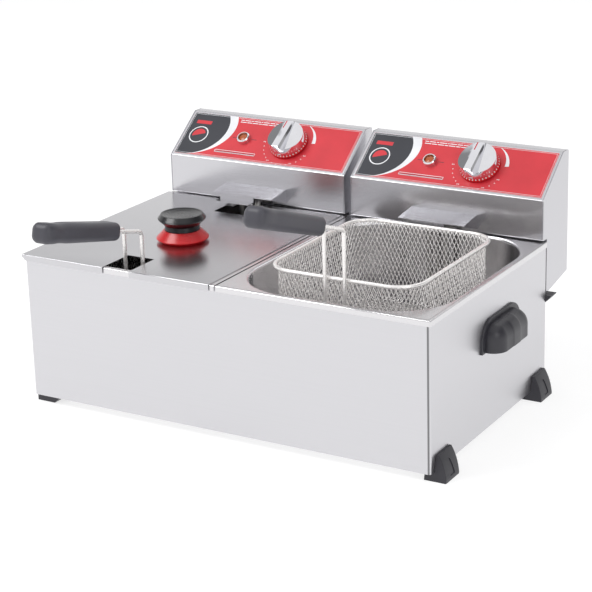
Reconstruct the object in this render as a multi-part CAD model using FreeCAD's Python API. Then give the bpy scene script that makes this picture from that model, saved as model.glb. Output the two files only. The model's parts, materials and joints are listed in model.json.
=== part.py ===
"""Countertop twin-tank electric deep fryer, built from separate folded, moulded and wire pieces.

Millimetres. X runs from left to right, Y from front to back, Z up from the surface the feet
stand on. While it is built, the casing is centred on X = 0 and Y = 0. At the end everything
is moved along Y, so that the origin lies under the middle of the whole fryer.
"""
import FreeCAD, Part
import math
import os

V = FreeCAD.Vector
LEFT, RIGHT = -1, 1

# Casing: the low box that the two tanks hang in.
casing_width = 560.0
casing_depth = 325.0
casing_height = 184.0
foot_height = 10.0
sheet = 1.0
corner_r = 4.0
ledge = 4.0
rail_width = 9.0
rail_drop = 34.0

# Tanks: deep-drawn tubs whose flanges make the deck.
tub_side_gap = 9.0
tub_end_gap = 8.0
tub_corner_r = 72.0
tub_bottom_r = 14.0
tub_roll = 4.0
tank_gap = 2.4
lip_height = 7.0
lip_clearance = 0.5
lip_bend = 1.6
crease_inset = 3.2
crease_width = 0.8
crease_depth = 0.35

# Control heads: boxes with a sloped fascia that stand behind the tanks.
head_gap = 10.0
head_inset = 2.0
head_overhang = 5.0
head_lift = 2.0
head_bend = 1.4
cheek_seam = 0.7
cheek_flange = 10.0
face_height = 52.0
slope_run = 64.0
slope_rise = 48.0
head_top_depth = 15.5
head_standoff = 7.0
head_heel_z = 124.8
head_rear_z = 137.0
gland_inset = 41.5
gland_z = 165.0
gland_r = 8.0
terminal_gap = 15.0
terminal_length = 45.0

# Fascia fittings. Sizes along the slope are measured up from its lower fold.
overlay_margin_x = 4.5
overlay_low = 4.0
overlay_top_gap = 3.0
overlay_thickness = 0.4
knob_x = 35.0
knob_s = 41.0
lamp_x = -35.5
lamp_s = 39.5
skirt_r = 26.6
skirt_gap = 1.6
skirt_height = 4.5
cap_r = 25.2
cap_rim_height = 11.0
cap_bar_front = 5.5
cap_bar_back = 1.5
cap_bar_half = 5.0
cap_bar_shift = -4.0
cap_pointer_width = 1.6
cap_pointer_depth = 0.7
cap_pointer_y = 11.0
shaft_r = 3.0
running_gap = 0.05
bezel_r = 9.0
bezel_height = 6.6
lamp_neck_r = 5.5

# Guard over the element's legs, on the head's front.
guard_width = 93.0
guard_depth = 38.0
guard_top = 23.0
guard_fall = 5.0
guard_skirt_low = 4.0
hook_half_width = 26.0
hook_offset = -7.0
hook_drop = 5.5
hook_mesh_gap = 1.0
hook_gap = 0.3

# Heating element and sensor.
element_r = 4.0
element_clear = 19.4
element_side_gap = 56.0
element_inner = 26.0
element_front_gap = 50.5
element_back_gap = 58.5
element_tongue = 44.0
leg_x = 12.0
leg_gap = 14.5
leg_rise = 11.0
element_bend = 13.0
bulb_r = 3.0
bulb_below_deck = 32.0

# Baskets.
basket_side_gap = 31.0
basket_end_gap = 37.5
basket_corner_r = 36.0
basket_height = 104.0
basket_y = -7.0
rim_wire_r = 2.5
rim_below_deck = 22.3
mesh_thickness = 1.5
basket_seat_gap = 0.3
handle_wire_r = 2.5
handle_wire_x = 13.0
handle_wire_in = 8.5
handle_rise = 62.0
handle_run = 42.0
handle_bend = 7.0
handle_tilt = {LEFT: 14.0, RIGHT: 19.0}
grip_length = 139.0
grip_width = 28.0
grip_height = 22.0
grip_taper = 2.5
grip_rear_r = 4.0
grip_end_r = 8.5
grip_waist = 0.9
grip_waist_y = 29.0
grip_bore_depth = 100.0

# Lid of the left tank.
lid_edge_gap = 7.7
lid_overhang = 0.5
lid_back_gap = 2.5
lid_front_gap = 0.7
lid_lip = 8.0
notch_width = 39.0
notch_depth = 54.0
slot_width = 62.0
slot_length = 29.5
slot_back = 27.0
lid_knob_x = 6.5
lid_knob_y = -30.0
lid_knob_r = 33.0

# Carry handles and feet.
carry_length = 110.0
carry_height = 39.0
carry_y = 24.0
carry_z = 110.0
carry_flange = 3.0
carry_cup = 92.0
carry_depth = 23.0
carry_wall = 2.6
foot_length = 34.0
foot_lean = 8.0
foot_reach_in = 11.5
foot_reach_out = 16.5
foot_leg = 19.5
foot_wall_gap = 0.3
foot_crest = 3.2
foot_edge_r = 0.8
foot_panel_depth = 0.9
foot_block = 26.0
foot_front_inset = 6.0
foot_rear_inset = 14.0

# Round-head screws, one size throughout.
screw_r = 2.0
screw_head_r = 4.0
screw_head_height = 2.2
screw_hole_gap = 0.1

# Levels and places that follow from the sizes above.
half_width = casing_width / 2
half_depth = casing_depth / 2
tub_width = half_width - 2 * tub_side_gap
tub_length = casing_depth - 2 * tub_end_gap
tub_depth = element_clear + element_r + basket_seat_gap + basket_height + rim_below_deck
casing_top = foot_height + casing_height
deck_z = casing_top + sheet
tub_floor = deck_z - tub_depth
lip_y = half_depth + lip_clearance + sheet
lip_x = half_width + lip_clearance + sheet
tank_x = (half_width + tank_gap / 2) / 2
head_half = (half_width - head_inset - head_gap / 2) / 2
head_x = head_gap / 2 + head_half
head_front = half_depth - head_overhang
face_low = deck_z + head_lift
face_high = face_low + face_height
head_top_y = head_front + slope_run
head_top = face_high + slope_rise
head_back = head_top_y + head_top_depth
head_heel_y = half_depth + head_standoff
slope_angle = math.degrees(math.atan2(slope_rise, slope_run))
slope_length = math.hypot(slope_run, slope_rise)
overlay_high = slope_length - overlay_top_gap
gland_x = head_half - gland_inset
basket_width = tub_width - 2 * basket_side_gap
basket_length = tub_length - 2 * basket_end_gap
element_z = tub_floor + element_clear
element_top = element_z + element_r
element_half = tub_width / 2 - element_side_gap
element_front = -tub_length / 2 + element_front_gap
element_back = tub_length / 2 - element_back_gap
leg_y = tub_length / 2 - leg_gap
guard_face_z = face_low + guard_top
hook_z = guard_face_z - guard_fall - sheet - hook_drop
mesh_back = basket_y + basket_length / 2 - 2 * rim_wire_r
hook_reach = head_front - guard_depth - mesh_back - hook_mesh_gap
rim_z = {
    LEFT: element_top + basket_seat_gap + basket_height,
    RIGHT: hook_z + hook_gap + rim_wire_r,
}
lid_back = head_front - lid_back_gap
lid_front = -(lip_y + lid_front_gap + sheet)


def box(x0, x1, y0, y1, z0, z1):
    """A box between two opposite corners, in any order."""
    low = V(min(x0, x1), min(y0, y1), min(z0, z1))
    return Part.makeBox(abs(x1 - x0), abs(y1 - y0), abs(z1 - z0), low)


def cylinder(r, start, axis, length):
    """A round bar from a start point along an axis."""
    return Part.makeCylinder(r, length, start, axis)


def slab(x0, x1, y0, y1, z0, z1, r):
    """A box with its four upright edges rounded."""
    block = box(x0, x1, y0, y1, z0, z1)
    upright = [e for e in block.Edges if abs(e.Vertexes[0].X - e.Vertexes[-1].X) < 1e-6
               and abs(e.Vertexes[0].Y - e.Vertexes[-1].Y) < 1e-6]
    return block.makeFillet(r, upright)


def slab_between(xa, xb, half_y, z0, z1, r):
    """A rounded-corner slab between two X places in either order, centred on Y = 0."""
    return slab(min(xa, xb), max(xa, xb), -half_y, half_y, z0, z1, r)


def ring_edges(shape, z):
    """The edges of a shape that lie wholly at one level."""
    return [e for e in shape.Edges
            if abs(e.BoundBox.ZMin - z) < 1e-5 and abs(e.BoundBox.ZMax - z) < 1e-5]


def prism_x(points, x0, x1):
    """A polygon of (y, z) points, extruded along X."""
    corners = [V(x0, y, z) for y, z in points]
    return Part.Face(Part.makePolygon(corners + corners[:1])).extrude(V(x1 - x0, 0, 0))


def inset(points, distance):
    """A closed polygon of (y, z) points with every side moved inward."""
    area = sum(a[0] * b[1] - b[0] * a[1] for a, b in zip(points, points[1:] + points[:1]))
    turn = 1 if area > 0 else -1
    sides = []
    for a, b in zip(points, points[1:] + points[:1]):
        length = math.hypot(b[0] - a[0], b[1] - a[1])
        nx, ny = -turn * (b[1] - a[1]) / length, turn * (b[0] - a[0]) / length
        sides.append((a[0] + nx * distance, a[1] + ny * distance, b[0] - a[0], b[1] - a[1]))
    corners = []
    for (ax, ay, adx, ady), (bx, by, bdx, bdy) in zip(sides[-1:] + sides[:-1], sides):
        t = ((bx - ax) * bdy - (by - ay) * bdx) / (adx * bdy - ady * bdx)
        corners.append((ax + t * adx, ay + t * ady))
    return corners


def bent_prism(points, r, x0, x1):
    """A polygon of (y, z) points extruded along X, with its folds rounded."""
    block = prism_x(points, x0, x1)
    along = [e for e in block.Edges if e.BoundBox.XLength > abs(x1 - x0) - 1e-3]
    return block.makeFillet(r, along)


def lathe(points, centre):
    """A solid of revolution about a Z axis, from (r, z) points that start and end at r = 0."""
    corners = [V(centre.x + r, centre.y, centre.z + z) for r, z in points]
    face = Part.Face(Part.makePolygon(corners + corners[:1]))
    return face.revolve(centre, V(0, 0, 1), 360)


def tube(points, r, bend):
    """A round bar along straight runs joined by tangent arcs."""
    edges = []
    start = points[0]
    for before, corner, after in zip(points, points[1:], points[2:]):
        back = (before - corner).normalize()
        ahead = (after - corner).normalize()
        half = back.getAngle(ahead) / 2
        reach = bend / math.tan(half)
        centre = corner + (back + ahead).normalize() * (bend / math.sin(half))
        middle = centre + (corner - centre).normalize() * bend
        edges.append(Part.LineSegment(start, corner + back * reach).toShape())
        edges.append(Part.Arc(corner + back * reach, middle, corner + ahead * reach).toShape())
        start = corner + ahead * reach
    edges.append(Part.LineSegment(start, points[-1]).toShape())
    section = Part.Wire(Part.makeCircle(r, points[0], points[1] - points[0]))
    return Part.Wire(edges).makePipeShell([section], True, True)


def on_slope(shape, side):
    """Place a shape, drawn with X across, Y up the slope and Z out of it, on a fascia."""
    slope = FreeCAD.Placement(
        V(side * head_x, head_front, face_high), FreeCAD.Rotation(V(1, 0, 0), slope_angle))
    placed = shape.copy()
    placed.Placement = slope.multiply(shape.Placement)
    return placed


def screw(head_at, out, length):
    """A round-head screw. head_at is under the head, out is the way the head faces."""
    shank = cylinder(screw_r, head_at - out * length, out, length)
    head = cylinder(screw_head_r, head_at, out, screw_head_height)
    rim = [e for e in head.Edges if e.Closed
           and abs((e.CenterOfMass - head_at).dot(out) - screw_head_height) < 1e-5]
    return shank.fuse(head.makeFillet(screw_head_height * 0.6, rim)).removeSplitter()


def screw_hole(head_at, out, length):
    """The clearance hole that a screw passes through."""
    return cylinder(screw_r + screw_hole_gap, head_at - out * length, out, 2 * length)


# ---------------------------------------------------------------- casing

carry_screws = [(s, V(s * (half_width - sheet), carry_y + end * (carry_length / 2 - 4.5),
                      carry_z + 6.0)) for s in (LEFT, RIGHT) for end in (-1, 1)]


def foot_ys():
    """The front face of each foot, at the floor: the front pair and the rear pair."""
    return {"front": -half_depth + foot_front_inset,
            "rear": half_depth - foot_rear_inset - foot_length}


def foot_screw_places():
    """Under-head points of the screws that hold the feet, up through the bottom plate."""
    inward = half_width - foot_reach_in / 2 - 0.5
    return [V(s * inward, y + foot_length / 2 + 2.0, foot_height - 5.0)
            for s in (LEFT, RIGHT) for y in foot_ys().values()]


def back_screw_places():
    """Under-head points of the screws in the back panel."""
    return [V(x, half_depth, z) for x in (-half_width + 18.0, 0.0, half_width - 18.0)
            for z in (foot_height + 14.0, foot_height + 80.0)]


def casing_wrap():
    """One sheet bent round the front and both sides, with a ledge that the tanks rest on."""
    block = box(-half_width, half_width, -half_depth, half_depth, foot_height, casing_top)
    front = [e for e in block.Edges if abs(e.BoundBox.YMax + half_depth) < 1e-6
             and e.BoundBox.ZLength > casing_height - 1]
    block = block.makeFillet(corner_r, front)
    hollow = box(-half_width + sheet, half_width - sheet, -half_depth + sheet,
                 half_depth + 1, foot_height - 1, casing_top + 1)
    front = [e for e in hollow.Edges if abs(e.BoundBox.YMax + half_depth - sheet) < 1e-6
             and e.BoundBox.ZLength > casing_height]
    walls = block.cut(hollow.makeFillet(corner_r - sheet, front))
    cap = block.common(box(-half_width, half_width, -half_depth, half_depth,
                           casing_top - sheet, casing_top))
    open_top = box(-half_width + ledge, half_width - ledge, -half_depth + ledge,
                   half_depth + 1, 0, casing_top + 1)
    notch = box(-half_width + sheet, half_width - sheet, half_depth - ledge,
                half_depth + 1, casing_top - sheet - 1, casing_top + 1)
    wrap = walls.fuse(cap.cut(open_top).cut(notch)).removeSplitter()
    for side, at in carry_screws:
        wrap = wrap.cut(screw_hole(at, V(side, 0, 0), 8.0))
    return wrap


def back_panel():
    """The back sheet, with its own ledge for the tanks' rear flanges."""
    x = half_width - sheet
    panel = box(-x, x, half_depth - sheet, half_depth, foot_height, casing_top)
    fold = box(-x, x, half_depth - ledge, half_depth, casing_top - sheet, casing_top)
    panel = panel.fuse(fold).removeSplitter()
    for at in back_screw_places():
        panel = panel.cut(screw_hole(at, V(0, 1, 0), 6.0))
    return panel


def bottom_plate():
    """The floor of the casing, with two banks of cooling slots."""
    x = half_width - sheet
    y = half_depth - sheet
    plate = slab(-x, x, -y, y, foot_height, foot_height + sheet, corner_r - sheet)
    for cx in (-half_width / 2, half_width / 2):
        for row in range(7):
            y0 = -60.0 + row * 20.0
            plate = plate.cut(slab(cx - 45, cx + 45, y0, y0 + 5, 0, 20, 2.4))
    for at in foot_screw_places():
        plate = plate.cut(screw_hole(at, V(0, 0, -1), 8.0))
    return plate


def centre_rail():
    """A channel between the tanks that carries the inner edges of both flanges."""
    x = rail_width / 2
    y = half_depth - sheet
    back = half_depth - ledge
    rail = box(-x, x, -y, y, casing_top - rail_drop, casing_top)
    rail = rail.cut(box(-x + sheet, x - sheet, -y, y, casing_top - rail_drop - 1, casing_top - sheet))
    clear = casing_top - sheet
    rail = rail.cut(box(-x, x, back, y, clear, casing_top + 1))
    return rail.cut(box(-x, x, -y, -half_depth + ledge, clear, casing_top + 1))


def corner_foot(y0):
    """A raked wedge foot: one leg under the casing, one up its side, with a sunk panel."""
    wall = half_width + foot_wall_gap
    outer = half_width + foot_reach_out
    crest = wall + foot_crest
    top = foot_height + foot_leg
    start = y0 - 1.0
    outline = [V(half_width - foot_reach_in, start, foot_height),
               V(half_width - foot_reach_in, start, 0), V(outer, start, 0), V(outer, start, 3.0)]
    shoulder = Part.Arc(outline[-1], V(outer - 4.6, start, top / 2 + 1.5),
                        V(crest, start, top)).toShape()
    back = Part.makePolygon([V(crest, start, top), V(wall, start, top),
                             V(wall, start, foot_height), outline[0]])
    face = Part.Face(Part.Wire(Part.makePolygon(outline).Edges + [shoulder] + back.Edges))
    body = face.extrude(V(0, foot_length + foot_lean + 2.0, 0))
    skin = body.cut(body.translated(V(-foot_panel_depth, 0, 0)))
    window = slab_x(wall, outer + 1, y0 + 12.5, y0 + 24.5, 5.0, 22.0, 2.0)
    panel = skin.common(window)
    rake = foot_lean / top
    for edge, beyond in ((y0, y0 - 60), (y0 + foot_length, y0 + foot_length + 60)):
        body = body.cut(prism_x([(edge - rake, -1), (edge + rake * (top + 1), top + 1),
                                 (beyond, top + 1), (beyond, -1)], half_width - 40, outer + 5))
    outside = [e for e in body.Edges if e.BoundBox.XMin > crest - 0.01
               and e.BoundBox.ZMax > 3.5 and e.BoundBox.ZMin < top - 5.0]
    return body.makeFillet(foot_edge_r, outside).cut(panel)


def block_foot(y0):
    """A plain block foot under the casing's left edge, with a slanted inner end."""
    inner = -half_width + foot_block
    return prism_y([(-half_width, 0), (inner, 0), (inner + foot_height, foot_height),
                    (-half_width, foot_height)], y0, y0 + foot_length)


def foot(side, y0):
    """One foot with its counterbored screw hole: the right pair also clasp the casing's side."""
    body = corner_foot(y0) if side == RIGHT else block_foot(y0)
    for at in foot_screw_places():
        body = body.cut(screw_hole(at, V(0, 0, -1), 8.0))
        body = body.cut(cylinder(screw_head_r + 0.4, V(at.x, at.y, -1), V(0, 0, 1), at.z + 1))
    return body


def slab_x(x0, x1, y0, y1, z0, z1, r):
    """A box with the four edges that run along X rounded."""
    block = box(x0, x1, y0, y1, z0, z1)
    along = [e for e in block.Edges if e.BoundBox.XLength > x1 - x0 - 1e-3]
    return block.makeFillet(r, along)


def cup(side, y0, y1, depth, top, r):
    """A block with a rounded nose and crown, standing against the casing's side."""
    block = box(half_width, half_width + depth, y0, y1, carry_z, top)
    nose = [e for e in block.Edges
            if (abs(e.BoundBox.XMin - half_width - depth) < 1e-6 and e.BoundBox.ZLength > 1)
            or (abs(e.BoundBox.ZMin - top) < 1e-6 and e.BoundBox.XMax > half_width + 1)]
    block = block.makeFillet(r, nose)
    return block if side == RIGHT else block.mirror(V(0, 0, 0), V(1, 0, 0))


def carry_handle(side):
    """A moulded cup handle: a thin arched flange and a hollow hood, open underneath."""
    y0, y1 = carry_y - carry_length / 2, carry_y + carry_length / 2
    top = carry_z + carry_height
    x0, x1 = half_width, half_width + carry_flange
    flange = box(x0, x1, y0, y1, carry_z, top)
    crown = [e for e in flange.Edges if e.BoundBox.XLength > 1 and abs(e.BoundBox.ZMin - top) < 1e-6]
    flange = flange.makeFillet(27.0, crown)
    face = [e for e in flange.Edges if e.BoundBox.XMin > x1 - 1e-5 and e.BoundBox.ZMax > carry_z + 1]
    flange = flange.makeFillet(1.0, face)
    if side == LEFT:
        flange = flange.mirror(V(0, 0, 0), V(1, 0, 0))
    c0, c1 = carry_y - carry_cup / 2, carry_y + carry_cup / 2
    crest = top - 5.5
    hood = cup(side, c0, c1, carry_depth, crest, 19.0)
    band = cup(side, c0 + 20, c1 - 20, carry_depth + 0.6, crest + 0.5, 19.0).common(
        box(side * (half_width - 1), side * (half_width + 60), carry_y - 17, carry_y + 17, 0, 300))
    shape = flange.fuse(hood).fuse(band)
    inner = box(half_width - 1, half_width + carry_depth - carry_wall, c0 + carry_wall,
                c1 - carry_wall, carry_z - 1, crest - carry_wall)
    nose = [e for e in inner.Edges
            if (abs(e.BoundBox.XMin - half_width - carry_depth + carry_wall) < 1e-6
                and e.BoundBox.ZLength > 1)
            or (abs(e.BoundBox.ZMin - crest + carry_wall) < 1e-6
                and e.BoundBox.XMax > half_width + 1)]
    inner = inner.makeFillet(19.0 - carry_wall, nose)
    if side == LEFT:
        inner = inner.mirror(V(0, 0, 0), V(1, 0, 0))
    shape = shape.cut(inner).removeSplitter()
    for hand, at in carry_screws:
        shape = shape.cut(cylinder(screw_r + screw_hole_gap, at, V(hand, 0, 0), sheet + 2.2))
    return shape


def rest_pad(x0, x1):
    """A moulded wedge on the back panel that a head's lower front edge stands on."""
    top = head_heel_z - 0.3
    pad = box(x0, x1, half_depth, half_depth + 18.0, top - 10.0, top)
    if x1 > half_width:
        cutter = Part.makePolygon([V(x1 - 9.5, 0, top - 11), V(x1 + 1, 0, top - 11),
                                   V(x1 + 1, 0, top), V(x1 - 9.5, 0, top - 11)])
    elif x0 < -half_width:
        cutter = Part.makePolygon([V(x0 + 9.5, 0, top - 11), V(x0 - 1, 0, top - 11),
                                   V(x0 - 1, 0, top), V(x0 + 9.5, 0, top - 11)])
    else:
        return pad
    return pad.cut(Part.Face(cutter).extrude(V(0, half_depth + 30, 0)))


def casing_screws():
    """Every screw of the casing: feet, carry handles and back panel, each its own solid."""
    screws = [screw(at, V(0, 0, -1), 5.5) for at in foot_screw_places()]
    screws += [screw(at, V(-side, 0, 0), sheet + 2.0) for side, at in carry_screws]
    screws += [screw(at, V(0, 1, 0), 4.0) for at in back_screw_places()]
    return Part.makeCompound(screws)


# ---------------------------------------------------------------- tanks

def tank(side):
    """A drawn tub with a rolled mouth. Its flange is the deck, with a lip over the casing."""
    cx = side * tank_x
    inner_x = side * tank_gap / 2
    outer_x = side * lip_x
    past = inner_x - side * 12.0
    flange = slab_between(past, outer_x, lip_y, deck_z - lip_height, deck_z, 2.5)
    flange = flange.makeFillet(lip_bend, ring_edges(flange, deck_z))
    under = slab_between(past, outer_x - side * sheet, lip_y - sheet,
                         deck_z - lip_height - 1, deck_z - sheet, 1.5)
    crease_x, crease_y = outer_x - side * crease_inset, lip_y - crease_inset
    crease = slab_between(past, crease_x, crease_y, deck_z - crease_depth, deck_z + 1, 2.0)
    crease = crease.cut(slab_between(past - side, crease_x - side * crease_width,
                                     crease_y - crease_width, deck_z - 1, deck_z + 2, 1.2))
    flange = flange.cut(under).cut(crease)
    flange = flange.common(box(inner_x, outer_x, -lip_y, lip_y, 0, deck_z))
    w, l = tub_width / 2, tub_length / 2
    outside = slab(cx - w - sheet, cx + w + sheet, -l - sheet, l + sheet,
                   tub_floor - sheet, deck_z - sheet / 2, tub_corner_r + sheet)
    outside = outside.makeFillet(tub_bottom_r + sheet, ring_edges(outside, tub_floor - sheet))
    shape = flange.fuse(outside).removeSplitter()
    seat = [e for e in ring_edges(shape, deck_z - sheet)
            if abs(e.CenterOfMass.x - cx) < w + 2 * sheet and abs(e.CenterOfMass.y) < l + 2 * sheet]
    shape = shape.makeFillet(tub_roll - sheet, seat)
    inside = slab(cx - w, cx + w, -l, l, tub_floor, deck_z + 5, tub_corner_r)
    inside = inside.makeFillet(tub_bottom_r, ring_edges(inside, tub_floor))
    shape = shape.cut(inside)
    mouth = [e for e in ring_edges(shape, deck_z)
             if abs(e.CenterOfMass.x - cx) < w + sheet and abs(e.CenterOfMass.y) < l + sheet]
    return shape.makeFillet(tub_roll, mouth)


# ---------------------------------------------------------------- control heads

head_profile = [(head_front, face_low), (head_front, face_high), (head_top_y, head_top),
                (head_back, head_top), (head_back, head_rear_z), (head_heel_y, head_heel_z),
                (head_heel_y, face_low)]
cover_low = head_rear_z + 1.5
cover_high = head_top - sheet - 0.1


def leg_places(side):
    """The X of the element's two legs, and the height at which they leave the head."""
    return [side * tank_x - leg_x, side * tank_x + leg_x], face_low + leg_rise


def guard_screw_places(side):
    """Under-head points of the two screws that hold the guard to the face."""
    cx = side * tank_x
    return [V(cx + s * (guard_width / 2 - 9.0), head_front - sheet, face_low + 8.5) for s in (-1, 1)]


def cover_screw_places(side):
    """Under-head points of the four screws in a head's back cover."""
    return [V(side * head_x + s * (head_half - 14.0), head_back, z) for s in (-1, 1)
            for z in (cover_low + 10.0, cover_high - 10.0)]


def head_shell(side):
    """The folded head: face, sloped fascia, top, underside and two cheeks, open at the back."""
    cx = side * head_x
    shell = bent_prism(head_profile, head_bend, cx - head_half, cx + head_half)
    inner_profile = inset(head_profile, sheet)
    shell = shell.cut(prism_x(inner_profile, cx - head_half + sheet, cx + head_half - sheet))
    flange_profile = inset(head_profile, 2 * sheet)
    for s in (-1, 1):
        x0, x1 = cx + s * (head_half - sheet), cx + s * (head_half - sheet - cheek_flange)
        strip = prism_x(inner_profile, x0, x1).cut(prism_x(flange_profile, x0, x1))
        strip = strip.cut(box(x0, x1, head_back - 3 * sheet, head_back, 0, head_top + 1))
        shell = shell.fuse(strip)
        seam = prism_x([(y, z) for y, z in inset(head_profile, -5.0)],
                       cx + s * (head_half - sheet), cx + s * (head_half - sheet - cheek_seam))
        seam = seam.cut(prism_x(inner_profile, x0, x1))
        shell = shell.cut(seam)
    inner = head_half - sheet
    shell = shell.cut(box(cx - inner, cx + inner, head_back - 2 * sheet, head_back + 1,
                          cover_low - 0.1, head_top - sheet))
    legs, leg_z = leg_places(side)
    for x in legs:
        shell = shell.cut(cylinder(element_r + 1, V(x, head_front - 1, leg_z), V(0, 1, 0), 4))
    shell = shell.cut(cylinder(2.2, V(side * tank_x, head_front - 1, leg_z), V(0, 1, 0), 4))
    shell = shell.cut(on_slope(cylinder(shaft_r + 2, V(knob_x, knob_s, -5), V(0, 0, 1), 10), side))
    shell = shell.cut(on_slope(cylinder(lamp_neck_r + 0.3, V(lamp_x, lamp_s, -5), V(0, 0, 1), 10), side))
    for at in guard_screw_places(side):
        shell = shell.cut(screw_hole(at, V(0, -1, 0), 6.0))
    return shell


def head_cover(side):
    """The flat back cover, with louvre slots and the cable outlet's hole."""
    cx = side * head_x
    inner = head_half - sheet - 0.1
    cover = box(cx - inner, cx + inner, head_back - sheet, head_back, cover_low, cover_high)
    for row in range(6):
        z0 = cover_high - 62.0 + row * 7.0
        slot = box(cx - 50, cx + 50, head_back - 3, head_back + 1, z0, z0 + 3)
        cover = cover.cut(slot)
    cover = cover.cut(cylinder(gland_r + 0.1, V(cx + gland_x, head_back - 3, gland_z), V(0, 1, 0), 6))
    for at in cover_screw_places(side):
        cover = cover.cut(screw_hole(at, V(0, 1, 0), 4.0))
    return cover


def overlay(side):
    """The printed plastic overlay stuck on the slope."""
    half = head_half - overlay_margin_x
    plate = box(-half, half, overlay_low, overlay_high, 0, overlay_thickness)
    plate = plate.cut(cylinder(shaft_r + 2, V(knob_x, knob_s, -1), V(0, 0, 1), 3))
    plate = plate.cut(cylinder(lamp_neck_r + 0.3, V(lamp_x, lamp_s, -1), V(0, 0, 1), 3))
    return on_slope(plate, side)


def lamp_bezel(side):
    """The bright ring of the indicator lamp, with its neck through the slope."""
    seat = overlay_thickness
    ring = lathe([(0, seat), (bezel_r, seat), (bezel_r, seat + bezel_height - 1.0),
                  (bezel_r - 0.9, seat + bezel_height), (bezel_r - 2.0, seat + bezel_height),
                  (bezel_r - 2.2, seat + 2.2), (0, seat + 2.2)], V(lamp_x, lamp_s, 0))
    neck = cylinder(lamp_neck_r, V(lamp_x, lamp_s, -15), V(0, 0, 1), 15 + seat + 1)
    return on_slope(ring.fuse(neck).removeSplitter(), side)


def lamp_lens(side):
    """The amber lens, a shallow dome in the bezel."""
    r = bezel_r - 2.4
    z = overlay_thickness + 2.2
    dome = [(r * math.cos(math.radians(a)), z + 1.0 + 2.2 * math.sin(math.radians(a)))
            for a in range(0, 91, 15)]
    lens = lathe([(0, z), (r, z)] + dome, V(lamp_x, lamp_s, 0))
    return on_slope(lens, side)


def thermostat(side):
    """The thermostat under the slope, with a bore for the knob's shaft."""
    body = slab(knob_x - 20, knob_x + 20, knob_s - 17, knob_s + 17, -28, -sheet, 3)
    terminals = box(knob_x - 14, knob_x + 14, knob_s - 20, knob_s - 17, -24, -8)
    body = body.fuse(terminals).removeSplitter()
    bore = cylinder(shaft_r + running_gap, V(knob_x, knob_s, -16), V(0, 0, 1), 30)
    return on_slope(body.cut(bore), side)


skirt_low = overlay_thickness + skirt_gap
skirt_high = skirt_low + skirt_height
cap_rim = skirt_high + cap_rim_height


def knob_shaft(side):
    """The thermostat's shaft, which turns with the knob."""
    return on_slope(cylinder(shaft_r, V(knob_x, knob_s, -15), V(0, 0, 1), 15 + skirt_high), side)


def knob_skirt(side):
    """The flared disc under the knob's cap that carries the numbers."""
    skirt = lathe([(0, skirt_low), (skirt_r, skirt_low), (skirt_r, skirt_low + 1.2),
                   (cap_r - 0.2, skirt_high), (0, skirt_high)], V(knob_x, knob_s, 0))
    bore = cylinder(shaft_r, V(knob_x, knob_s, 0), V(0, 0, 1), 20)
    return on_slope(skirt.cut(bore), side)


def cap_top(y):
    """The height of the cap's bar at a place along it: it falls towards the back."""
    fall = (cap_bar_front - cap_bar_back) / (2 * cap_r)
    return cap_rim + cap_bar_front - fall * (y + cap_r)


def cap_scoop(front, back):
    """A cutter from a section at the cap's front to one at its back, as (x, z) points."""
    wires = []
    for section, y in ((front, -cap_r - 1), (back, cap_r + 1)):
        corners = [V(x, y, z) for x, z in section]
        wires.append(Part.makePolygon(corners + corners[:1]))
    return Part.makeLoft(wires, True, True)


def knob_cap(side):
    """The bright cap: a disc with a bar across it, a valley on one side and a fall on the other."""
    z0, above = skirt_high, cap_rim + cap_bar_front + 2
    left, right = cap_bar_shift - cap_bar_half, cap_bar_shift + cap_bar_half
    out = cap_r + 3
    cap = lathe([(0, z0), (cap_r, z0), (cap_r, cap_rim - 3), (cap_r - 0.8, above), (0, above)],
                V(0, 0, 0))
    front, back = cap_top(-cap_r), cap_top(cap_r)
    cap = cap.cut(prism_x([(-out, cap_top(-out)), (out, cap_top(out)), (out, above + 1),
                           (-out, above + 1)], -out, out))
    cap = cap.cut(cap_scoop([(right, above), (right, front), (right + 3.8, cap_rim - 2.6),
                             (right + 9.5, cap_rim + 0.8), (out, cap_rim - 1.5), (out, above)],
                            [(right, above), (right, back), (right + 1.6, back - 0.8),
                             (right + 3.2, back - 0.3), (out, cap_rim - 1.0), (out, above)]))
    cap = cap.cut(cap_scoop([(left, above), (left, front), (-out, cap_rim - 1.5), (-out, above)],
                            [(left, above), (left, back), (-out, cap_rim - 1.0), (-out, above)]))
    end = prism_x([(-cap_r + 0.8, z0 + 0.6), (-cap_r + 2.6, above), (-out, above),
                   (-out, z0 + 0.6)], left, right)
    pointer = prism_x([(cap_pointer_y, cap_top(cap_pointer_y) - cap_pointer_depth),
                       (out, cap_top(out) - cap_pointer_depth), (out, above),
                       (cap_pointer_y, above)], left + 1.0, left + 1.0 + cap_pointer_width)
    cap = cap.cut(end).cut(pointer)
    return on_slope(cap.translated(V(knob_x, knob_s, 0)), side)


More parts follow.
